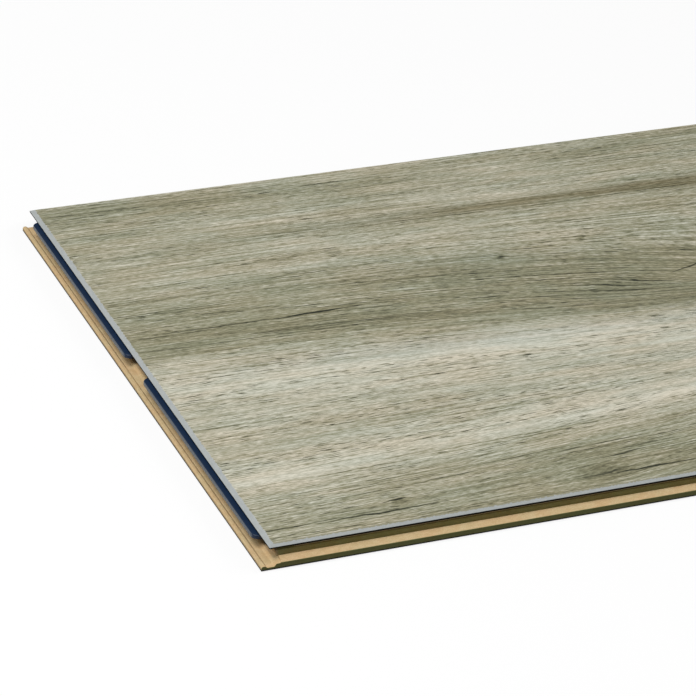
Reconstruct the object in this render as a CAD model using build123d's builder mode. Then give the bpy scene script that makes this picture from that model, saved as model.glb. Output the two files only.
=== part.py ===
"""Laminate floor plank with milled click edges and two sprung plastic tongues in one short end.

The plank lies flat. X runs along it, Y across it and Z up. The short end with the strip and the
plastic tongues is at -X, the long edge with the groove and the lower lip is at -Y, and the edges
that lock into them are at +X and +Y. The origin is at the bottom centre of the whole outline.
"""

import os

from build123d import *

# Driving dimensions, in millimetres

# Board
face_length = 1380.0  # joint plane to joint plane
face_width = 244.0  # joint plane to joint plane
thickness = 7.0
decor_thickness = 0.3
backing_thickness = 0.45
bevel_width = 1.4  # on the top face
bevel_depth = 0.85
fit_clearance = 0.1  # between two planks that are locked together

# Long edges: a groove over a lower lip at -Y, and the tongue that fits them at +Y
upper_lip_height = 0.8  # upright face between the bevel and the groove
groove_fall = 0.95  # of the groove's top, from its mouth to its inner end
groove_height = 1.1  # at the inner end
groove_depth = 3.9
groove_radius = 0.35
seat_width = 1.5  # flat floor at the inner end of the groove
hollow_height = 2.1  # floor of the locking hollow, above the underside
hollow_inset = 0.45  # outer end of that floor, inside the joint plane
hollow_width = 0.9
hollow_radius = 0.35
crest_height = 3.2  # inner edge of the lower lip's top, above the underside
crest_reach = 0.3
lip_height = 2.05  # outer edge of the lower lip's top, above the underside
lip_reach = 2.85
lip_radius = 0.15

# Short ends: a slot over a shelf and a hooked strip at -X, and the catch that folds onto them at +X
end_lip_height = 0.45  # upright face between the bevel and the slot
slot_depth = 8.4
wall_inset = 3.0  # wall under the slot, behind the joint plane
wall_radius = 0.5
shelf_height = 1.85  # above the underside
shelf_inset = 1.5  # outer edge of the shelf, behind the joint plane
shelf_radius = 0.3
strip_height = 0.9  # floor of the strip, above the underside
strip_inset = 0.75  # inner end of that floor, behind the joint plane
strip_radius = 0.5
strip_reach = 3.55
hook_height = 1.5
hook_width = 0.75  # flat top of the hook
hook_run = 0.8  # slope from the strip's floor up to the hook's top
hook_chamfer = 0.45  # outer edge of the hook
catch_chamfer = 0.8  # lower edge of the catch, which presses the tongues in

# Plastic tongues in the slot
tongue_thickness = 1.3
tongue_reach = 2.1  # past the joint plane
tongue_seat = 4.8  # behind the joint plane
tongue_length = 105.5
tongue_gap = 16.0  # between the two tongues
tongue_margin = 8.5  # from the front joint plane to the front tongue
tongue_corner = 2.8
tongue_edge_radius = 0.5
bristle_pitch = 4.0
bristle_width = 0.7  # along the tongue
bristle_lean = 3.0  # from root to tip, along the tongue

# Heights and places that follow from them
joint_top = thickness - bevel_depth
core_top = thickness - decor_thickness
core_bottom = backing_thickness
decor_bottom_inset = bevel_width * (core_top - joint_top) / bevel_depth
groove_top = joint_top - upper_lip_height
groove_end_top = groove_top - groove_fall
groove_bottom = groove_end_top - groove_height
long_tongue_reach = groove_depth - 2 * fit_clearance
slot_top = joint_top - end_lip_height
slot_bottom = slot_top - tongue_thickness - fit_clearance
hook_start = strip_reach - hook_chamfer - hook_width - hook_run
bristle_reach = slot_depth - tongue_seat - fit_clearance
bristle_count = int((tongue_length - bristle_lean - bristle_width) // bristle_pitch)
total_length = strip_reach + face_length
total_width = lip_reach + face_width + long_tongue_reach
strip_end = strip_reach - total_length / 2  # joint plane at -X
catch_end = strip_end + face_length  # joint plane at +X
groove_edge = lip_reach - total_width / 2  # joint plane at -Y
tongue_edge = groove_edge + face_width  # joint plane at +Y

# Edge profiles from top to bottom: distance outward from the joint plane, height, corner radius
bevel_profile = [
    (-decor_bottom_inset, core_top, 0),
    (0, joint_top, 0),
]
lip_profile = [
    (seat_width - groove_depth, groove_bottom, 0),
    (-hollow_inset - hollow_width, hollow_height, hollow_radius),
    (-hollow_inset, hollow_height, hollow_radius),
    (crest_reach, crest_height, lip_radius),
    (lip_reach, lip_height, lip_radius),
]
groove_profile = [
    *bevel_profile,
    (0, groove_top, 0),
    (-groove_depth, groove_end_top, groove_radius),
    (-groove_depth, groove_bottom, groove_radius),
    *lip_profile,
    (lip_reach, core_bottom, 0),
]
# The tongue rests over the lip's profile with the clearance between them.
tongue_profile = [
    *bevel_profile,
    (0, groove_top - fit_clearance, 0),
    (long_tongue_reach, groove_end_top - fit_clearance, groove_radius),
    (long_tongue_reach, groove_bottom + fit_clearance, groove_radius),
    *[(-out, height + fit_clearance, radius) for out, height, radius in lip_profile],
    (-lip_reach - fit_clearance, core_bottom, 0),
]
hook_slope = [
    (hook_start, strip_height, 0),
    (hook_start + hook_run, hook_height, 0),
]
strip_profile = [
    *bevel_profile,
    (0, slot_top, 0),
    (-slot_depth, slot_top, 0),
    (-slot_depth, slot_bottom, 0),
    (-wall_inset, slot_bottom, 0),
    (-wall_inset, shelf_height, wall_radius),
    (-shelf_inset, shelf_height, shelf_radius),
    (-strip_inset, strip_height, strip_radius),
    *hook_slope,
    (strip_reach - hook_chamfer, hook_height, 0),
    (strip_reach, hook_height - hook_chamfer, 0),
    (strip_reach, core_bottom, 0),
]
# The catch folds down onto the strip, so nothing on it passes the joint plane.
catch_profile = [
    *bevel_profile,
    (0, slot_top, 0),
    (-tongue_reach - fit_clearance, slot_top, 0),
    (-tongue_reach - fit_clearance, slot_bottom - fit_clearance, 0),
    (0, slot_bottom - fit_clearance, 0),
    (0, strip_height + fit_clearance + catch_chamfer, 0),
    (-catch_chamfer, strip_height + fit_clearance, 0),
    *[(-out, height + fit_clearance, radius) for out, height, radius in hook_slope],
    (-strip_reach - fit_clearance, hook_height + fit_clearance, 0),
    (-strip_reach - fit_clearance, core_bottom, 0),
]


def section_outline(low_profile, low_place, high_profile, high_place):
    """Draw the closed outline of a section from the profiles at its two sides."""
    low_side = [(low_place - out, height, radius) for out, height, radius in low_profile]
    high_side = [(high_place + out, height, radius) for out, height, radius in high_profile]
    corners = low_side + high_side[::-1]
    points = [(across, height) for across, height, radius in corners]
    radii = [radius for across, height, radius in corners]
    FilletPolyline(*points, radius=radii, close=True)


# The long edges are milled along the whole board, and the short ends are milled across it.
with BuildPart() as core_board:
    with BuildSketch(Plane.YZ.offset(-total_length / 2)):
        with BuildLine():
            section_outline(groove_profile, groove_edge, tongue_profile, tongue_edge)
        make_face()
    extrude(amount=total_length)
    with BuildSketch(Plane.XZ.offset(-total_width / 2)):
        with BuildLine():
            section_outline(strip_profile, strip_end, catch_profile, catch_end)
        make_face()
    extrude(amount=total_width, mode=Mode.INTERSECT)

# The bevel cuts through the printed sheet into the core, so the sheet has sloping sides.
face_centre = ((strip_end + catch_end) / 2, (groove_edge + tongue_edge) / 2)
with BuildPart() as decor_sheet:
    for height, inset in ((core_top, decor_bottom_inset), (thickness, bevel_width)):
        with BuildSketch(Plane.XY.offset(height)):
            with Locations(face_centre):
                Rectangle(face_length - 2 * inset, face_width - 2 * inset)
    loft()

# The backing ends where the two locking recesses are milled into the underside.
with BuildPart() as backing_sheet:
    with BuildSketch():
        with Locations((-total_length / 2, -total_width / 2)):
            Rectangle(
                face_length - fit_clearance,
                face_width - fit_clearance,
                align=(Align.MIN, Align.MIN),
            )
    extrude(amount=backing_thickness)

pieces = {
    "core_board": core_board,
    "decor_sheet": decor_sheet,
    "backing_sheet": backing_sheet,
}

# The two tongues lie on the floor of the slot. Slanted bristles behind each one give way when it is
# pressed in and push it out again.
front_tongue_start = groove_edge + tongue_margin
back_tongue_start = front_tongue_start + tongue_length + tongue_gap
tongue_starts = {
    "locking_tongue_front": front_tongue_start,
    "locking_tongue_back": back_tongue_start,
}
for name, start in tongue_starts.items():
    with BuildPart() as locking_tongue:
        with BuildSketch(Plane.XY.offset(slot_bottom)) as blade:
            with Locations((strip_end - tongue_reach, start)):
                Rectangle(
                    tongue_reach + tongue_seat,
                    tongue_length,
                    align=(Align.MIN, Align.MIN),
                )
            fillet(blade.vertices().group_by(Axis.X)[0], radius=tongue_corner)
        extrude(amount=tongue_thickness)
        top_edges = locking_tongue.edges().group_by(Axis.Z)[-1]
        fillet(top_edges.sort_by(Axis.X)[:-1], radius=tongue_edge_radius)
        with BuildSketch(Plane.XY.offset(slot_bottom)):
            with Locations((strip_end + tongue_seat, start + tongue_length / 2)):
                with GridLocations(0, bristle_pitch, 1, bristle_count):
                    Polygon(
                        (0, -(bristle_lean + bristle_width) / 2),
                        (bristle_reach, (bristle_lean - bristle_width) / 2),
                        (bristle_reach, (bristle_lean + bristle_width) / 2),
                        (0, (bristle_width - bristle_lean) / 2),
                        align=None,
                    )
        extrude(amount=tongue_thickness)
    pieces[name] = locking_tongue

os.makedirs("parts", exist_ok=True)
for name, piece in pieces.items():
    piece.part.label = name
    export_step(piece.part, f"parts/{name}.step")
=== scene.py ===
"""Looks of the laminate floor plank: printed oak decor, painted bevels, fibreboard, backing and plastic."""

import math

import bpy
import numpy as np
from mathutils import Matrix, Vector


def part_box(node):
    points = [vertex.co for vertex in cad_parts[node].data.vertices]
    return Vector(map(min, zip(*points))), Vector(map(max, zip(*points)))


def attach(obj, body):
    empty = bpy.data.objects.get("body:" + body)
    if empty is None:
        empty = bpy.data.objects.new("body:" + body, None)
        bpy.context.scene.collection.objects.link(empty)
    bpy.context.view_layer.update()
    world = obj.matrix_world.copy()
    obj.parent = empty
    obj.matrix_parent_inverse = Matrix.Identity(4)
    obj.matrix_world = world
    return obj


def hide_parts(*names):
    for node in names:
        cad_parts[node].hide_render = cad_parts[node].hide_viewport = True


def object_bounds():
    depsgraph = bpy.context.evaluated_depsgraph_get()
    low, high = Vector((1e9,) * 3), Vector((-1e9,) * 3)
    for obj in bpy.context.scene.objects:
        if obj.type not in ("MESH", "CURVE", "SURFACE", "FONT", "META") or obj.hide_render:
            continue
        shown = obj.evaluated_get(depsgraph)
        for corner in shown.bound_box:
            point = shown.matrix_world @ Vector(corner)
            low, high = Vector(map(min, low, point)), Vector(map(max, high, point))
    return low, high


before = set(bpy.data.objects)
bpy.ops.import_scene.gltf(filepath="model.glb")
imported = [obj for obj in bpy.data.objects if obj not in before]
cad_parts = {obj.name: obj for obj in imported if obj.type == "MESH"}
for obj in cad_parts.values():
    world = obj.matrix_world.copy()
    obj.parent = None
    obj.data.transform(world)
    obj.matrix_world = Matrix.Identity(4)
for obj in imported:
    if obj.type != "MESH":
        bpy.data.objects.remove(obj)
cad_low, cad_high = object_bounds()

MM = 0.001
WHITE = (1.0, 1.0, 1.0, 1.0)

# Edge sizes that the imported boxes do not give, in metres
BEVEL_RUN = 1.4 * MM  # bevel width on the top face
BEVEL_DROP = 0.85 * MM

decor_low, decor_high = (Vector(corner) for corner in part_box("decor_sheet"))
joint_height = decor_high.z - BEVEL_DROP
sheet_inset = BEVEL_RUN * (decor_low.z - joint_height) / BEVEL_DROP
joint_corner = Vector((decor_low.x - sheet_inset, decor_low.y - sheet_inset, joint_height))
face_length = decor_high.x - decor_low.x + 2 * sheet_inset
face_width = decor_high.y - decor_low.y + 2 * sheet_inset
lip_reach = (joint_corner.y - cad_low[1]) / MM
rim_place = (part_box("locking_tongue_front")[0][0] - joint_corner.x) / MM


def linear(red, green, blue):
    """Linear colour with alpha from 8-bit display values."""
    def channel(value):
        value /= 255
        return value / 12.92 if value <= 0.04045 else ((value + 0.055) / 1.055) ** 2.4
    return (channel(red), channel(green), channel(blue), 1.0)


# Node helpers

def add_node(tree, kind, **settings):
    """A new node with its properties set by name."""
    node = tree.nodes.new(kind)
    for key, value in settings.items():
        setattr(node, key, value)
    return node


def plug(tree, socket, value):
    """Link an output socket to the input, or set the input's own value."""
    if isinstance(value, bpy.types.NodeSocket):
        tree.links.new(value, socket)
    else:
        socket.default_value = value


def math_node(tree, operation, first, second=0.0, third=0.0):
    """One Math node on sockets or numbers."""
    node = add_node(tree, "ShaderNodeMath", operation=operation)
    for socket, value in zip(node.inputs, (first, second, third)):
        plug(tree, socket, value)
    return node.outputs[0]


def product(tree, first, second):
    """Two values multiplied."""
    return math_node(tree, "MULTIPLY", first, second)


def smooth_range(tree, value, low, high, to_low=0.0, to_high=1.0):
    """Smoothstep of a value from the range low to high."""
    node = add_node(tree, "ShaderNodeMapRange", interpolation_type="SMOOTHSTEP")
    for name, number in zip(
        ("Value", "From Min", "From Max", "To Min", "To Max"),
        (value, low, high, to_low, to_high),
    ):
        plug(tree, node.inputs[name], number)
    return node.outputs["Result"]


def mix_colour(tree, factor, first, second, blend="MIX"):
    """One colour Mix node."""
    node = add_node(tree, "ShaderNodeMix", data_type="RGBA", blend_type=blend)
    plug(tree, node.inputs[0], factor)
    plug(tree, node.inputs[6], first)
    plug(tree, node.inputs[7], second)
    return node.outputs[2]


def glaze(tree, mask, colour, tint):
    """A colour multiplied by a tint where the mask is 1."""
    return mix_colour(tree, mask, colour, mix_colour(tree, 1.0, colour, tint, blend="MULTIPLY"))


def vector_of(tree, x, y, z=0.0):
    """A vector from three sockets or numbers."""
    node = add_node(tree, "ShaderNodeCombineXYZ")
    for socket, value in zip(node.inputs, (x, y, z)):
        plug(tree, socket, value)
    return node.outputs[0]


def split_vector(tree, vector):
    """The three parts of a vector."""
    node = add_node(tree, "ShaderNodeSeparateXYZ")
    tree.links.new(vector, node.inputs[0])
    return node.outputs[0], node.outputs[1], node.outputs[2]


def noise(tree, vector, scale=1.0, detail=2.0, roughness=0.5):
    """Value of a Noise texture."""
    node = add_node(tree, "ShaderNodeTexNoise")
    plug(tree, node.inputs["Vector"], vector)
    node.inputs["Scale"].default_value = scale
    node.inputs["Detail"].default_value = detail
    node.inputs["Roughness"].default_value = roughness
    return node.outputs["Fac"]


def centred_noise(tree, vector, **settings):
    """A Noise texture that swings to both sides of zero."""
    noise_middle = 0.5
    return math_node(tree, "SUBTRACT", noise(tree, vector, **settings), noise_middle)


def colour_ramp(tree, factor, stops):
    """A ColorRamp with stops of a position and a colour in 8-bit display values."""
    node = add_node(tree, "ShaderNodeValToRGB")
    elements = node.color_ramp.elements
    while len(elements) < len(stops):
        elements.new(1.0)
    for element, (position, colour) in zip(elements, stops):
        element.position = position
        element.color = linear(*colour)
    plug(tree, node.inputs["Fac"], factor)
    return node.outputs["Color"]


def new_material(name, roughness, specular):
    """An empty material with a Principled shader and its plain values."""
    material = bpy.data.materials.new(name)
    material.use_nodes = True
    shader = material.node_tree.nodes["Principled BSDF"]
    shader.inputs["Roughness"].default_value = roughness
    shader.inputs["Specular IOR Level"].default_value = specular
    return material, material.node_tree, shader


def bump(tree, height, relief):
    """Normal from a height whose unit is the relief in mm."""
    node = add_node(tree, "ShaderNodeBump")
    plug(tree, node.inputs["Height"], height)
    node.inputs["Distance"].default_value = relief * MM
    node.inputs["Strength"].default_value = 1.0
    return node.outputs["Normal"]


def scaled_coordinates(tree, offset=(0.0, 0.0, 0.0)):
    """Object coordinates in mm, moved by an offset in mm."""
    coordinates = add_node(tree, "ShaderNodeTexCoord")
    mapping = add_node(tree, "ShaderNodeMapping")
    mapping.inputs["Scale"].default_value = (1 / MM, 1 / MM, 1 / MM)
    mapping.inputs["Location"].default_value = offset
    tree.links.new(coordinates.outputs["Object"], mapping.inputs["Vector"])
    return mapping.outputs[0]


def object_millimetres(tree):
    """Place along, across and above the board in mm from the near joint corner, as three sockets."""
    offset = (-joint_corner.x / MM, -joint_corner.y / MM, 0.0)
    return split_vector(tree, scaled_coordinates(tree, offset))


# Printed decor: the shape of its grain

# Tones are display values from 0 to 1. A band is a bell curve across the grain: place (mm), half width
# (mm), lift in tone, and the place along the board where it is strongest and the length of its slow
# change from there (mm).
BASE_TONE = 0.665
TONE_BANDS = (
    (13.0, 14.0, -0.115, 165.0, 400.0),
    (43.5, 6.0, 0.085, 160.0, 620.0),
    (67.0, 6.0, -0.015, 40.0, 450.0),
    (98.0, 13.0, 0.085, 150.0, 600.0),
    (131.0, 13.0, -0.115, 180.0, 870.0),
    (150.0, 9.0, -0.070, 180.0, 640.0),
    (159.0, 7.0, -0.090, 245.0, 380.0),
    (177.0, 9.0, 0.030, 90.0, 640.0),
    (205.0, 7.0, 0.022, 60.0, 430.0),
    (229.0, 7.0, -0.095, 10.0, 300.0),
    (240.0, 9.0, 0.050, 140.0, 380.0),
)
BAND_STEADY = 0.15  # share of a band that stays along the whole board
BAND_SLOW = 0.85  # share that comes and goes
# Sudden changes of tone across the grain: place (mm), half width of the change (mm), change in tone
TONE_STEPS = (
    (31.0, 5.0, 0.045),
    (120.0, 2.4, -0.065),
)

# The slow wave of the whole grain: height, lengths along and across (mm), phase, and a shift (mm)
WAVE_HEIGHT = 1.6
WAVE_ALONG = 97.0
WAVE_ACROSS = 75.0
WAVE_PHASE = 2.6
WAVE_SHIFT = 0.8

# Where the grain draws together: place along and across, half length, half width (mm), strength
PINCHES = (
    (320.0, 85.0, 150.0, 70.0, 0.90),
    (700.0, 140.0, 200.0, 65.0, 0.35),
    (1120.0, 95.0, 180.0, 60.0, 0.40),
)

# Knots: place along and across (mm), radius across (mm), stretch along the grain, darkening
KNOTS = (
    (49.0, 12.0, 1.7, 1.3, 0.14),
    (121.0, 10.0, 4.5, 2.2, 0.19),
    (187.0, 128.0, 4.0, 3.0, 0.09),
    (151.8, 158.8, 1.3, 1.3, 0.34),
    (186.8, 164.8, 1.0, 1.2, 0.26),
    (292.0, 150.0, 24.0, 3.0, 0.02),
    (470.0, 58.0, 7.0, 2.4, 0.16),
    (655.0, 205.0, 4.0, 2.0, 0.18),
    (820.0, 112.0, 16.0, 3.0, 0.05),
    (1015.0, 36.0, 4.0, 2.2, 0.18),
    (1180.0, 172.0, 8.0, 2.6, 0.13),
    (1310.0, 84.0, 2.5, 1.8, 0.18),
)
KNOT_CORE = 1.7  # squared radius, in knot radii, inside which the grain is hardly pushed aside

# Fine cracks along the grain: start and end along, place across at the start, rise per mm, half width
# (mm), and depth of tone
CRACKS = (
    (6.0, 66.0, 138.9, -0.006, 0.35, 0.30),
    (50.0, 92.0, 138.2, 0.022, 0.55, 0.42),
    (-6.0, 20.0, 8.3, -0.010, 0.45, 0.30),
    (10.0, 68.0, 7.8, -0.001, 0.40, 0.42),
    (44.5, 53.0, 13.6, 0.000, 0.50, 0.45),
    (117.0, 158.0, 7.4, 0.024, 0.45, 0.36),
    (122.0, 142.0, 17.0, 0.150, 0.40, 0.20),
    (203.0, 232.0, 129.0, 0.300, 0.45, 0.34),
    (2.0, 60.0, 165.0, 0.050, 0.25, 0.16),
    (12.0, 84.0, 171.5, 0.055, 0.25, 0.18),
    (30.0, 104.0, 178.0, 0.060, 0.25, 0.16),
    (18.0, 72.0, 33.5, 0.050, 0.28, 0.18),
    (44.0, 160.0, 36.8, 0.040, 0.30, 0.20),
    (440.0, 520.0, 60.5, 0.012, 0.50, 0.38),
    (560.0, 640.0, 92.0, -0.020, 0.28, 0.20),
    (700.0, 752.0, 182.0, -0.010, 0.45, 0.34),
    (760.0, 850.0, 48.0, 0.030, 0.28, 0.18),
    (930.0, 1010.0, 131.0, 0.006, 0.50, 0.40),
    (985.0, 1050.0, 35.0, -0.008, 0.40, 0.26),
    (1160.0, 1215.0, 171.0, 0.012, 0.50, 0.36),
    (1240.0, 1330.0, 110.0, -0.015, 0.28, 0.18),
)
CRACK_BLUR = 0.3  # mm to either side of a crack's edge
CRACK_END = 0.3  # taper below which a crack fades out
CRACK_WANDER = 1.6  # mm
TAPER_PEAK = 4.0  # brings run * (1 - run) to 1 at the middle of a crack

# Stains that follow the grain: place across it, half width (mm), middle and half length along, and
# strength, brown where positive and blue-grey where negative
STAINS = (
    (195.0, 3.4, 230.0, 120.0, 1.6),
    (108.0, 6.0, 115.0, 90.0, -1.0),
    (161.0, 4.5, 140.0, 45.0, -0.8),
    (62.0, 2.4, 620.0, 160.0, 0.7),
    (150.0, 2.2, 960.0, 200.0, 0.7),
    (222.0, 2.0, 1220.0, 150.0, 0.7),
    (96.0, 6.0, 700.0, 140.0, -0.8),
    (104.0, 6.0, 1180.0, 120.0, -0.8),
)
BROWN = (0.52, 0.49, 0.39, 1.0)
BLUE_GREY = (0.955, 0.985, 1.03, 1.0)

GRID_STEP = 2.0 * MM
MAP_ROWS = 2  # the board's halves lie one above the other in the map
MAP_MARGIN = 0.004
MAP_FOOT = 0.03  # height of the map below the halves
MAP_REST = 0.02  # height of the sides and base in that foot


def bell(value):
    """A bell curve: 1 at zero and 0.37 at one."""
    return np.exp(-(value**2))


def grain_fields(along, across):
    """Grain coordinate in mm, and tone, knot shade and stain over the board.

    A pinch adds to the distance from its middle line, so equal steps of grain lie closer there. Each
    knot pushes the grain aside as a post does in a stream: the offset from its middle is scaled by the
    squared radius over the widened squared radius plus the squared distance.
    """
    wave = np.sin(along / WAVE_ALONG + across / WAVE_ACROSS + WAVE_PHASE)
    grain = across + WAVE_HEIGHT * wave - WAVE_SHIFT
    for pinch_x, pinch_y, half_length, half_width, strength in PINCHES:
        squeeze = strength * bell((along - pinch_x) / half_length) * bell((across - pinch_y) / half_width)
        grain = grain + (across - pinch_y) * squeeze
    shade = np.zeros_like(along)
    for knot_x, knot_y, radius, stretch, dark in KNOTS:
        dx = (along - knot_x) / stretch
        dy = across - knot_y
        spread = KNOT_CORE * radius**2 + dx**2 + dy**2
        grain = grain - dy * radius**2 / spread
        shade += dark * np.exp(-(dx**2 + dy**2) / radius**2)
    tone = np.full_like(along, BASE_TONE)
    for centre, half, lift, peak, period in TONE_BANDS:
        slow = (1 + np.cos(2 * math.pi * (along - peak) / period)) / 2
        tone += lift * (BAND_STEADY + BAND_SLOW * slow) * bell((grain - centre) / half)
    for place, half, change in TONE_STEPS:
        tone += change * (1 + np.tanh((grain - place) / half)) / 2
    stain = np.zeros_like(along)
    for place, half, middle, half_length, strength in STAINS:
        stain += strength * bell((grain - place) / half) * bell((along - middle) / half_length)
    return grain, tone, shade, stain


def make_decor_surface():
    """The printed sheet as one closed grid: a flat top, sides that slope as the bevel does, and a base.

    The top is a grid in length and width; its rim is carried down and out along the bevel's slope to
    the height of the core, and one face closes the base.
    """
    slope = BEVEL_RUN / BEVEL_DROP * (decor_high.z - decor_low.z)
    x_low, x_high = decor_low.x + slope, decor_high.x - slope
    y_low, y_high = decor_low.y + slope, decor_high.y - slope
    columns = 2 * int(round((x_high - x_low) / GRID_STEP / 2)) + 1
    rows = int(round((y_high - y_low) / GRID_STEP)) + 1
    x, y = np.meshgrid(np.linspace(x_low, x_high, columns), np.linspace(y_low, y_high, rows))
    top = np.stack([x, y, np.full_like(x, decor_high.z)], axis=-1).reshape(-1, 3)
    index = np.arange(rows * columns).reshape(rows, columns)
    rim = np.concatenate([index[0, :-1], index[:-1, -1], index[-1, :0:-1], index[:0:-1, 0]])
    base = top[rim].copy()
    centre = np.array([(x_low + x_high) / 2, (y_low + y_high) / 2])
    grow = np.array([
        (decor_high.x - decor_low.x) / (x_high - x_low),
        (decor_high.y - decor_low.y) / (y_high - y_low),
    ])
    base[:, :2] = centre + (base[:, :2] - centre) * grow
    base[:, 2] = decor_low.z
    base_index = np.arange(len(rim)) + rows * columns
    quads = np.stack([index[:-1, :-1], index[:-1, 1:], index[1:, 1:], index[1:, :-1]], axis=-1)
    sides = np.stack([rim, base_index, np.roll(base_index, -1), np.roll(rim, -1)], axis=-1)
    faces = quads.reshape(-1, 4).tolist() + sides.tolist() + [base_index[::-1].tolist()]
    vertices = np.concatenate([top, base])

    mesh = bpy.data.meshes.new("decor_surface")
    mesh.from_pydata(vertices.tolist(), [], faces)
    mesh.update()
    along = (vertices[:, 0] - joint_corner.x) / MM
    across = (vertices[:, 1] - joint_corner.y) / MM
    grain, tone, shade, stain = grain_fields(along, across)
    fields = np.stack([grain, tone - shade, stain], axis=-1)
    layer = mesh.attributes.new("grain", "FLOAT_VECTOR", "POINT")
    layer.data.foreach_set("vector", fields.astype(np.float32).ravel())

    # The top takes the first material, and the sides and base the second.
    top_faces = (rows - 1) * (columns - 1)
    slots = np.ones(len(faces), dtype=np.int32)
    slots[:top_faces] = 0
    mesh.polygons.foreach_set("material_index", slots)
    add_decor_map(mesh, vertices, top_faces)
    surface = bpy.data.objects.new("decor_surface", mesh)
    bpy.context.scene.collection.objects.link(surface)
    return surface


def add_decor_map(mesh, vertices, top_faces):
    """Map the top so that its two halves fill a square, one above the other, and the rest lies below.

    A face's half is found from its middle; its place along that half runs across the map, and its
    place across the board runs up the map's half.
    """
    loops = np.empty(len(mesh.loops), dtype=np.int64)
    mesh.loops.foreach_get("vertex_index", loops)
    starts = np.empty(len(mesh.polygons), dtype=np.int64)
    totals = np.empty(len(mesh.polygons), dtype=np.int64)
    mesh.polygons.foreach_get("loop_start", starts)
    mesh.polygons.foreach_get("loop_total", totals)
    face_of_loop = np.repeat(np.arange(len(totals)), totals)
    place = (vertices[loops, 0] - decor_low.x) / (decor_high.x - decor_low.x)
    rise = (vertices[loops, 1] - decor_low.y) / (decor_high.y - decor_low.y)
    middle = np.add.reduceat(place, starts) / totals
    half = np.minimum((middle * MAP_ROWS).astype(int), MAP_ROWS - 1)[face_of_loop]
    room = (1 - MAP_FOOT) / MAP_ROWS
    width = 1 - 2 * MAP_MARGIN
    u = MAP_MARGIN + (place * MAP_ROWS - half) * width
    v = MAP_FOOT + half * room + MAP_MARGIN + rise * (room - 2 * MAP_MARGIN)
    rest = face_of_loop >= top_faces
    u = np.where(rest, MAP_MARGIN + place * width, u)
    v = np.where(rest, MAP_MARGIN + rise * MAP_REST, v)
    layer = mesh.uv_layers.new(name="OFBake")
    layer.data.foreach_set("uv", np.stack([u, v], axis=-1).astype(np.float32).ravel())


# Bevel paint

PAINT = linear(178, 182, 181)
PAINT_DARK = linear(164, 169, 168)
PAINT_ROUGHNESS = 0.5
PAINT_SPILL = 0.15  # mm that the paint runs onto the face
PAINT_SHY = 0.55  # mm by which it stays lower on the long edges
PAINT_RAGGED = 1.3  # mm between the paint border's highest and lowest places
PAINT_NOISE = 0.9  # ragged places per mm
PAINT_BLUR = 0.12  # mm to either side of the border


def paint_colour(tree, fibres):
    """Bevel paint with a faint mottle."""
    return mix_colour(tree, fibres, PAINT_DARK, PAINT)


def paint_spill(tree, along, across):
    """Mask of the bevel paint at the decor: the distance to the nearest edge, with a noise added to it."""
    nearest = math_node(tree, "SUBTRACT", face_length / MM, along)
    front = math_node(tree, "ADD", across, PAINT_SHY)
    back = math_node(tree, "SUBTRACT", face_width / MM + PAINT_SHY, across)
    for distance in (along, front, back):
        nearest = math_node(tree, "MINIMUM", nearest, distance)
    ragged = centred_noise(tree, vector_of(tree, along, across), scale=PAINT_NOISE)
    place = math_node(tree, "MULTIPLY_ADD", ragged, PAINT_RAGGED, nearest)
    border = BEVEL_RUN / MM + PAINT_SPILL
    return smooth_range(tree, place, border + PAINT_BLUR, border - PAINT_BLUR)


# Printed decor: its colours

# Layers of streaks along the grain: length and width (mm), detail of the noise, and a shift that sets each
# layer apart from the others
STREAKS = {
    "clouds": (70.0, 24.0, 2.0, 5.0),
    "swathes": (120.0, 6.0, 3.0, 1.0),
    "rows": (60.0, 1.8, 2.0, 2.0),
    "fibres": (2.6, 0.4, 2.0, 3.0),
    "lines": (50.0, 0.6, 2.0, 23.0),
    "pores": (7.0, 0.5, 1.0, 7.0),
    "pore fields": (80.0, 9.0, 2.0, 9.0),
    "flecks": (8.0, 0.6, 1.0, 8.0),
    "ring wander": (110.0, 9.0, 2.0, 15.0),
    "ring breaks": (11.0, 1.6, 1.0, 17.0),
    "ring fields": (70.0, 7.0, 2.0, 19.0),
    "crack wander": (9.0, 40.0, 1.0, 21.0),
    "tints": (40.0, 9.0, 2.0, 11.0),
    "gloss": (24.0, 1.2, 2.0, 13.0),
}
STREAK_ROUGHNESS = 0.6
# The two values of a layer between which its mask goes from 0 to 1
MASKS = {
    "rows": (-0.25, 0.1),
    "pores": (0.07, 0.17),
    "pore fields": (-0.16, 0.10),
    "flecks": (0.10, 0.22),
    "ring breaks": (-0.14, 0.06),
    "ring fields": (-0.05, 0.12),
    "tints": (-0.22, 0.22),
    "gloss": (-0.25, 0.25),
}
# What each layer adds to the tone
SHARES = {
    "clouds": 0.12,
    "swathes": 0.14,
    "rows": 0.2,
    "fibres": 0.6,
    "lines": 0.62,
    "pores": -0.26,
    "flecks": 0.13,
    "rings": -0.20,
}
PALE = (0.66, 0.74)  # tones between which the lines fade and the pores deepen
PALE_LINES = 0.60
PALE_PORES = 1.8

RING_SPACING = 2.7  # mm
RING_WANDER = 16.0  # radians
RING_CRESTS = (0.70, 0.98)  # part of the wave that shows as a line

# Colours of the print from dark to pale: tone, and display values
PRINT = (
    (0.20, (42, 46, 36)),
    (0.36, (92, 91, 71)),
    (0.47, (121, 119, 94)),
    (0.55, (141, 139, 113)),
    (0.63, (161, 158, 135)),
    (0.72, (184, 181, 163)),
    (0.86, (218, 214, 198)),
)
WARM = (1.03, 0.985, 0.945, 1.0)
COOL = (0.965, 1.005, 1.015, 1.0)
CUT_PRINT = linear(150, 147, 124)  # mean of the print on the sheet's cut edge

DECOR_SPECULAR = 0.35
DECOR_ROUGHNESS = 0.5
DECOR_GLOSS = (0.44, 0.58)  # roughness from the smoothest to the dullest streaks
DECOR_RELIEF = 0.05  # mm
FIBRE_RELIEF = 0.8  # height of the fibres, as a share of the pores' depth


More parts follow.
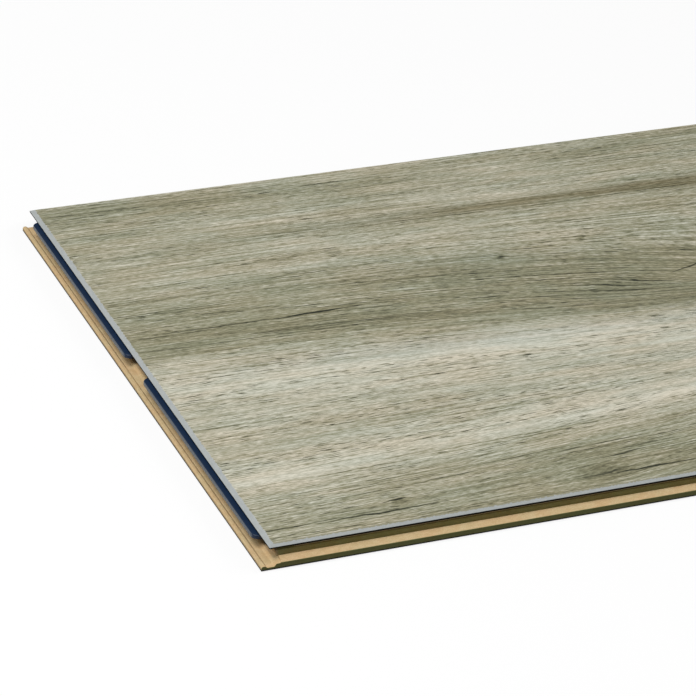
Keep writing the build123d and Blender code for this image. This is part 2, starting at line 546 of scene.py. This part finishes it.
def crack_mask(tree, along, across):
    """Depth of the cracks at a place: each one is widest at its middle and runs out at both ends."""
    deepest = 0.0
    for start, end, place, rise, half, depth in CRACKS:
        run = smooth_range(tree, along, start, end)
        rest = math_node(tree, "SUBTRACT", 1.0, run)
        taper = product(tree, product(tree, run, rest), TAPER_PEAK)
        line = math_node(tree, "MULTIPLY_ADD", along, rise, place - rise * start)
        offset = math_node(tree, "ABSOLUTE", math_node(tree, "SUBTRACT", across, line))
        inside = math_node(tree, "MULTIPLY_ADD", taper, half, product(tree, offset, -1.0))
        cut = smooth_range(tree, inside, -CRACK_BLUR, CRACK_BLUR, 0.0, depth)
        cut = product(tree, cut, smooth_range(tree, taper, 0.0, CRACK_END))
        deepest = math_node(tree, "MAXIMUM", deepest, cut)
    return deepest


def decor_material():
    """Grey-beige oak print: bands, ring lines and pores along the grain, knots, cracks, pressed pores."""
    material, tree, shader = new_material("oak_decor", DECOR_ROUGHNESS, DECOR_SPECULAR)
    along, across = object_millimetres(tree)[:2]
    fields = add_node(tree, "ShaderNodeAttribute", attribute_name="grain", attribute_type="GEOMETRY")
    grain, tone, stain = split_vector(tree, fields.outputs["Vector"])

    def streaks(name):
        length, width, detail, shift = STREAKS[name]
        place = vector_of(
            tree,
            math_node(tree, "DIVIDE", along, length),
            math_node(tree, "DIVIDE", grain, width),
            shift,
        )
        return centred_noise(tree, place, detail=detail, roughness=STREAK_ROUGHNESS)

    def mask(name, to_low=0.0, to_high=1.0):
        return smooth_range(tree, streaks(name), *MASKS[name], to_low, to_high)

    def add(total, value, weight):
        return math_node(tree, "MULTIPLY_ADD", value, weight, total)

    # Ring lines: a wave across the grain, cut down to its crests and broken up along its length
    turns = product(tree, grain, 2 * math.pi / RING_SPACING)
    turns = add(turns, streaks("ring wander"), RING_WANDER)
    crests = smooth_range(tree, math_node(tree, "SINE", turns), *RING_CRESTS)
    present = product(tree, mask("ring breaks"), mask("ring fields"))

    fibres = streaks("fibres")
    pores = product(tree, mask("pores"), mask("pore fields"))
    layers = {
        "clouds": streaks("clouds"),
        "swathes": streaks("swathes"),
        "rows": streaks("rows"),
        "fibres": fibres,
        "lines": product(tree, streaks("lines"), smooth_range(tree, tone, *PALE, 1.0, PALE_LINES)),
        "pores": product(tree, pores, smooth_range(tree, tone, *PALE, 1.0, PALE_PORES)),
        "flecks": mask("flecks"),
        "rings": product(tree, crests, present),
    }
    total = tone
    for name, layer in layers.items():
        total = add(total, layer, SHARES[name])
    wander = add(across, streaks("crack wander"), CRACK_WANDER)
    total = math_node(tree, "SUBTRACT", total, crack_mask(tree, along, wander))

    colour = colour_ramp(tree, total, PRINT)
    warm = mix_colour(tree, 1.0, colour, WARM, blend="MULTIPLY")
    cool = mix_colour(tree, 1.0, colour, COOL, blend="MULTIPLY")
    colour = mix_colour(tree, mask("tints"), cool, warm)
    brown = product(tree, math_node(tree, "MAXIMUM", stain, 0.0), mask("rows"))
    colour = glaze(tree, brown, colour, BROWN)
    grey = math_node(tree, "MAXIMUM", product(tree, stain, -1.0), 0.0)
    colour = glaze(tree, grey, colour, BLUE_GREY)
    painted = paint_spill(tree, along, across)
    plug(tree, shader.inputs["Base Color"], mix_colour(tree, painted, colour, PAINT))

    relief = add(product(tree, pores, -1.0), fibres, FIBRE_RELIEF)
    plug(tree, shader.inputs["Normal"], bump(tree, relief, DECOR_RELIEF))
    plug(tree, shader.inputs["Roughness"], mask("gloss", *DECOR_GLOSS))
    return material


# Fibres, which the painted bevel, the board, the backing and the plastic share

FIBRE_STRETCH = (0.5, 0.5, 2.2)  # the board is pressed flat, so its fibres lie level
FIBRE_COARSE = {"scale": 0.9, "detail": 4.0, "roughness": 0.65}
FIBRE_FINE = {"scale": 3.1, "detail": 2.0, "roughness": 0.6}
FIBRE_SHARE = 0.5  # of the coarse and of the fine noise
FIBRE_RANGE = (0.32, 0.68)


def fibre_group():
    """Node group: fibres of pressed board, as a mask from 0 to 1 and a height."""
    group = bpy.data.node_groups.new("pressed_fibres", "ShaderNodeTree")
    group.interface.new_socket("Vector", in_out="INPUT", socket_type="NodeSocketVector")
    size = group.interface.new_socket("Fibre Size", in_out="INPUT", socket_type="NodeSocketFloat")
    size.default_value = 1.0
    group.interface.new_socket("Fibres", in_out="OUTPUT", socket_type="NodeSocketFloat")
    group.interface.new_socket("Height", in_out="OUTPUT", socket_type="NodeSocketFloat")
    start = add_node(group, "NodeGroupInput")
    end = add_node(group, "NodeGroupOutput")
    scaled = add_node(group, "ShaderNodeVectorMath", operation="SCALE")
    group.links.new(start.outputs["Vector"], scaled.inputs[0])
    inverse = math_node(group, "DIVIDE", 1.0, start.outputs["Fibre Size"])
    group.links.new(inverse, scaled.inputs["Scale"])
    stretched = add_node(group, "ShaderNodeVectorMath", operation="MULTIPLY")
    group.links.new(scaled.outputs[0], stretched.inputs[0])
    stretched.inputs[1].default_value = FIBRE_STRETCH
    coarse = noise(group, stretched.outputs[0], **FIBRE_COARSE)
    fine = noise(group, scaled.outputs[0], **FIBRE_FINE)
    both = math_node(group, "MULTIPLY_ADD", fine, FIBRE_SHARE, product(group, coarse, FIBRE_SHARE))
    plug(group, end.inputs["Fibres"], smooth_range(group, both, *FIBRE_RANGE))
    plug(group, end.inputs["Height"], both)
    return group


def place_fibres(tree, group, size):
    """The fibre group placed in a material, on object coordinates in mm."""
    node = add_node(tree, "ShaderNodeGroup", node_tree=group)
    node.inputs["Fibre Size"].default_value = size
    tree.links.new(scaled_coordinates(tree), node.inputs["Vector"])
    return node.outputs["Fibres"], node.outputs["Height"]


# Fibreboard

BOARD_DARK = linear(192, 167, 123)
BOARD_PALE = linear(211, 189, 148)
BOARD_ROUGHNESS = 0.85
BOARD_SPECULAR = 0.1
BOARD_FIBRES = 1.0
BOARD_RELIEF = 0.04  # mm
BLOTCH = (1.02, 0.95, 0.93, 1.0)  # a pinker tan
BLOTCH_SCALE = 0.16  # per mm
BLOTCH_RANGE = (0.35, 0.65)
# A dark band on the upright face just under the bevel: partly the edge's own dark colour, partly painted
# shade
UNDER_BEVEL_DARK = linear(34, 31, 22)
UNDER_BEVEL_DARK_DEPTH = 0.7  # mm under the bevel
UNDER_BEVEL_DARK_BLUR = 0.06  # mm to either side of the dark band's border
JOINT_BLUR = 0.03  # mm to either side of the bevel's lower edge
# Painted shade: tints that darken the groove's inside and the lower lip's outer face, where shade falls
GROOVE_SHADE_TINT = (0.82, 1.0, 0.74, 1.0)
GROOVE_DEPTH = 3.9  # mm behind the joint plane
GROOVE_MOUTH = (0.1, 0.6)  # mm behind the joint plane over which the groove's painted shade sets in
GROOVE_START = (3.2, 4.2)  # mm from the strip end over which the groove's painted shade sets in
GROOVE_FADE = (0.6, 0.1)  # mm past the groove's depth, without the painted shade and with all of it
LIP_FACE_SHADE_TINT = (0.34, 0.47, 0.34, 1.0)
LIP_FADE = (0.18, 0.06)  # mm inside the lip's outer face, without the painted shade and with all of it
PLAIN_ROUGHNESS = 0.88  # where there is no paint
PAINTED_RELIEF = 0.2  # share of the fibres' height that shows through the paint


def board_material(fibres):
    """Tan fibreboard on the milled edges: dark just under the bevel (partly the edge's own colour, partly
    painted shade), painted shade in the groove and on the lower lip's outer face, and bevel paint on the
    bevel.
    """
    material, tree, shader = new_material("fibreboard", BOARD_ROUGHNESS, BOARD_SPECULAR)
    mask, height = place_fibres(tree, fibres, BOARD_FIBRES)
    along, across, level = object_millimetres(tree)
    tan = mix_colour(tree, mask, BOARD_DARK, BOARD_PALE)
    cloud = noise(tree, vector_of(tree, along, across, level), scale=BLOTCH_SCALE)
    tan = glaze(tree, smooth_range(tree, cloud, *BLOTCH_RANGE), tan, BLOTCH)
    mouth = product(
        tree,
        smooth_range(tree, across, *GROOVE_MOUTH),
        smooth_range(tree, along, *GROOVE_START),
    )
    wall = smooth_range(tree, across, *(GROOVE_DEPTH + fade for fade in GROOVE_FADE))
    # Painted shade: the groove's inside tinted darker and more olive
    tan = glaze(tree, product(tree, mouth, wall), tan, GROOVE_SHADE_TINT)
    # Painted shade: the lower lip's outer face tinted dark olive
    outside = smooth_range(tree, across, *(fade - lip_reach for fade in LIP_FADE))
    tan = glaze(tree, outside, tan, LIP_FACE_SHADE_TINT)
    joint_level = joint_height / MM
    # The dark band under the bevel, partly painted shade
    under_bevel_dark_level = joint_level - UNDER_BEVEL_DARK_DEPTH
    under_bevel_dark = smooth_range(tree, level, under_bevel_dark_level - UNDER_BEVEL_DARK_BLUR, under_bevel_dark_level + UNDER_BEVEL_DARK_BLUR)
    edge = mix_colour(tree, under_bevel_dark, tan, UNDER_BEVEL_DARK)
    painted = smooth_range(tree, level, joint_level - JOINT_BLUR, joint_level + JOINT_BLUR)
    plug(tree, shader.inputs["Base Color"], mix_colour(tree, painted, edge, paint_colour(tree, mask)))
    rough = smooth_range(tree, painted, 0.0, 1.0, PLAIN_ROUGHNESS, PAINT_ROUGHNESS)
    plug(tree, shader.inputs["Roughness"], rough)
    relief = product(tree, height, smooth_range(tree, painted, 0.0, 1.0, 1.0, PAINTED_RELIEF))
    plug(tree, shader.inputs["Normal"], bump(tree, relief, BOARD_RELIEF))
    return material


# Cut edge of the decor, backing and plastic

BEVEL_SPECULAR = 0.4
BEVEL_RELIEF = 0.03  # mm

BACKING_DARK = linear(15, 14, 10)
BACKING_PALE = linear(24, 23, 17)
BACKING_ROUGHNESS = 0.8
BACKING_SPECULAR = 0.25
BACKING_FIBRES = 2.5
BACKING_RELIEF = 0.05  # mm

PLASTIC_DARK = linear(2, 26, 52)
PLASTIC_PALE = linear(5, 37, 68)
PLASTIC_ROUGHNESS = 0.42
PLASTIC_GLOSS = (0.36, 0.5)  # roughness of the dark and of the pale spots
PLASTIC_SPECULAR = 0.35
PLASTIC_FIBRES = 0.6
PLASTIC_RELIEF = 0.02  # mm
# Painted highlight: a pale line along the tongue's outer rim, where its rounded edge would catch the light
RIM_HIGHLIGHT = linear(92, 98, 104)
RIM_WIDTH = 0.3  # mm
RIM_FULL = 0.5  # share of that width where the painted highlight is full


def bevel_material(fibres):
    """The cut edge of the decor: bevel paint, with the print showing above the paint's border."""
    material, tree, shader = new_material("bevel_paint", PAINT_ROUGHNESS, BEVEL_SPECULAR)
    mask, height = place_fibres(tree, fibres, BOARD_FIBRES)
    along, across = object_millimetres(tree)[:2]
    painted = paint_spill(tree, along, across)
    colour = mix_colour(tree, painted, CUT_PRINT, paint_colour(tree, mask))
    plug(tree, shader.inputs["Base Color"], colour)
    plug(tree, shader.inputs["Normal"], bump(tree, height, BEVEL_RELIEF))
    return material


def backing_material(fibres):
    """Dark olive-brown backing paper with a faint fibre cloud."""
    material, tree, shader = new_material("backing_paper", BACKING_ROUGHNESS, BACKING_SPECULAR)
    mask, height = place_fibres(tree, fibres, BACKING_FIBRES)
    plug(tree, shader.inputs["Base Color"], mix_colour(tree, mask, BACKING_DARK, BACKING_PALE))
    plug(tree, shader.inputs["Normal"], bump(tree, height, BACKING_RELIEF))
    return material


def tongue_material(fibres):
    """Dark blue moulded plastic with a fine grain and a pale painted highlight along its outer rim."""
    material, tree, shader = new_material("blue_plastic", PLASTIC_ROUGHNESS, PLASTIC_SPECULAR)
    mask, height = place_fibres(tree, fibres, PLASTIC_FIBRES)
    along = object_millimetres(tree)[0]
    colour = mix_colour(tree, mask, PLASTIC_DARK, PLASTIC_PALE)
    # Painted highlight along the outer rim
    rim = smooth_range(tree, along, rim_place + RIM_WIDTH, rim_place + RIM_FULL * RIM_WIDTH)
    plug(tree, shader.inputs["Base Color"], mix_colour(tree, rim, colour, RIM_HIGHLIGHT))
    plug(tree, shader.inputs["Roughness"], smooth_range(tree, mask, 0.0, 1.0, *PLASTIC_GLOSS))
    plug(tree, shader.inputs["Normal"], bump(tree, height, PLASTIC_RELIEF))
    return material


def dress(node_name, material):
    """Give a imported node's object its material."""
    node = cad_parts[node_name]
    for slot in node.material_slots:
        slot.link = "OBJECT"
        slot.material = material


fibres = fibre_group()
dress("core_board", board_material(fibres))
dress("backing_sheet", backing_material(fibres))
plastic = tongue_material(fibres)
dress("locking_tongue_front", plastic)
dress("locking_tongue_back", plastic)
decor = make_decor_surface()
decor.data.materials.append(decor_material())
decor.data.materials.append(bevel_material(fibres))
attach(decor, "root")
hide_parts("decor_sheet")


# Floor, light and camera

FLOOR_SIZE = 40.0
FLOOR_DROP = 0.2 * MM  # so that the floor and the underside do not share a plane
FLOOR_ROUGHNESS = 0.9
FLOOR_SHADE = 0.25  # share of the floor's own shading that the camera sees
FLOOR_SEEN = (0.95, 0.95, 0.95, 1.0)
FLOOR_UNSEEN = (0.12, 0.12, 0.12, 1.0)  # so that little light comes up from it to the edges

NEAR_TARGET = 0.15  # metres from the strip end
# Softboxes that face the near part of the plank, and those that face its far end: place from there (m),
# size (m) and power (W)
NEAR_SOFTBOXES = {
    "key": ((-1.15, -0.12, 1.75), 1.3, 36.0),
    "overhead": ((0.1, -0.1, 2.0), 1.2, 4.0),
    "front": ((-0.2, -1.5, 0.8), 1.0, 1.8),
}
FAR_SOFTBOXES = {
    "far": ((0.9, 0.1, 1.2), 1.0, 15.0),
}
SURROUND = 0.16  # strength of the light from all round

# The photograph's view: the camera stands off from the near corner of the decor's joint planes
CAMERA_FROM_CORNER = Vector((-338.5, -810.0, 548.7)) * MM
CAMERA_RIGHT = Vector((0.9235, -0.3800, 0.0529))
CAMERA_UP = Vector((0.1389, 0.4598, 0.8771))
FOCAL_PIXELS = 3345.0
PHOTO_PIXELS = 696.0
SENSOR_MM = 36.0
CLIP_NEAR = 0.05
CLIP_FAR = 50.0


def make_floor():
    """A plain pale floor that reads white to the camera and keeps a soft shadow."""
    half = FLOOR_SIZE / 2
    corners = [(-half, -half, 0.0), (half, -half, 0.0), (half, half, 0.0), (-half, half, 0.0)]
    mesh = bpy.data.meshes.new("floor")
    mesh.from_pydata(corners, [], [(0, 1, 2, 3)])
    floor = bpy.data.objects.new("floor", mesh)
    bpy.context.scene.collection.objects.link(floor)
    floor.location = (joint_corner.x, 0.0, -FLOOR_DROP)
    material, tree, shader = new_material("floor_white", FLOOR_ROUGHNESS, 0.0)
    glow = add_node(tree, "ShaderNodeEmission")
    glow.inputs["Color"].default_value = WHITE
    path = add_node(tree, "ShaderNodeLightPath")
    direct = path.outputs["Is Camera Ray"]
    for ray in ("Is Glossy Ray", "Is Transmission Ray"):
        direct = math_node(tree, "MAXIMUM", direct, path.outputs[ray])
    plug(tree, shader.inputs["Base Color"], mix_colour(tree, direct, FLOOR_UNSEEN, FLOOR_SEEN))
    seen = product(tree, direct, 1.0 - FLOOR_SHADE)
    mix = add_node(tree, "ShaderNodeMixShader")
    tree.links.new(seen, mix.inputs[0])
    tree.links.new(shader.outputs[0], mix.inputs[1])
    tree.links.new(glow.outputs[0], mix.inputs[2])
    output = tree.nodes["Material Output"]
    tree.links.new(mix.outputs[0], output.inputs["Surface"])
    mesh.materials.append(material)


def add_softbox(name, place, target, size, watts):
    """A square area lamp that faces its target."""
    lamp = bpy.data.lights.new(name, "AREA")
    lamp.shape = "SQUARE"
    lamp.size = size
    lamp.energy = watts
    softbox = bpy.data.objects.new(name, lamp)
    bpy.context.scene.collection.objects.link(softbox)
    softbox.location = place
    softbox.rotation_euler = (target - place).to_track_quat("-Z", "Y").to_euler()


def light_scene():
    """A softbox high on the strip end's side, weak ones overhead, in front and past the far end."""
    near_part = Vector((joint_corner.x + NEAR_TARGET, 0.0, 0.0))
    far_end = Vector((decor_high.x, 0.0, 0.0))
    for target, softboxes in ((near_part, NEAR_SOFTBOXES), (far_end, FAR_SOFTBOXES)):
        for name, (offset, size, watts) in softboxes.items():
            add_softbox(name, target + Vector(offset), target, size, watts)
    world = bpy.data.worlds.new("surround")
    world.use_nodes = True
    background = world.node_tree.nodes["Background"]
    background.inputs["Color"].default_value = WHITE
    background.inputs["Strength"].default_value = SURROUND
    bpy.context.scene.world = world


def place_camera():
    """The photograph's camera: square frame, long lens, looking down along the plank from its near end."""
    data = bpy.data.cameras.new("photo_camera")
    data.sensor_width = SENSOR_MM
    data.lens = SENSOR_MM * FOCAL_PIXELS / PHOTO_PIXELS
    data.clip_start = CLIP_NEAR
    data.clip_end = CLIP_FAR
    camera = bpy.data.objects.new("photo_camera", data)
    bpy.context.scene.collection.objects.link(camera)
    right = CAMERA_RIGHT.normalized()
    back = right.cross(CAMERA_UP).normalized()
    up = back.cross(right)
    turn = Matrix((right, up, back)).transposed().to_4x4()
    camera.matrix_world = Matrix.Translation(joint_corner + CAMERA_FROM_CORNER) @ turn
    bpy.context.scene.camera = camera


make_floor()
light_scene()
place_camera()
bpy.context.scene.view_settings.view_transform = "Standard"
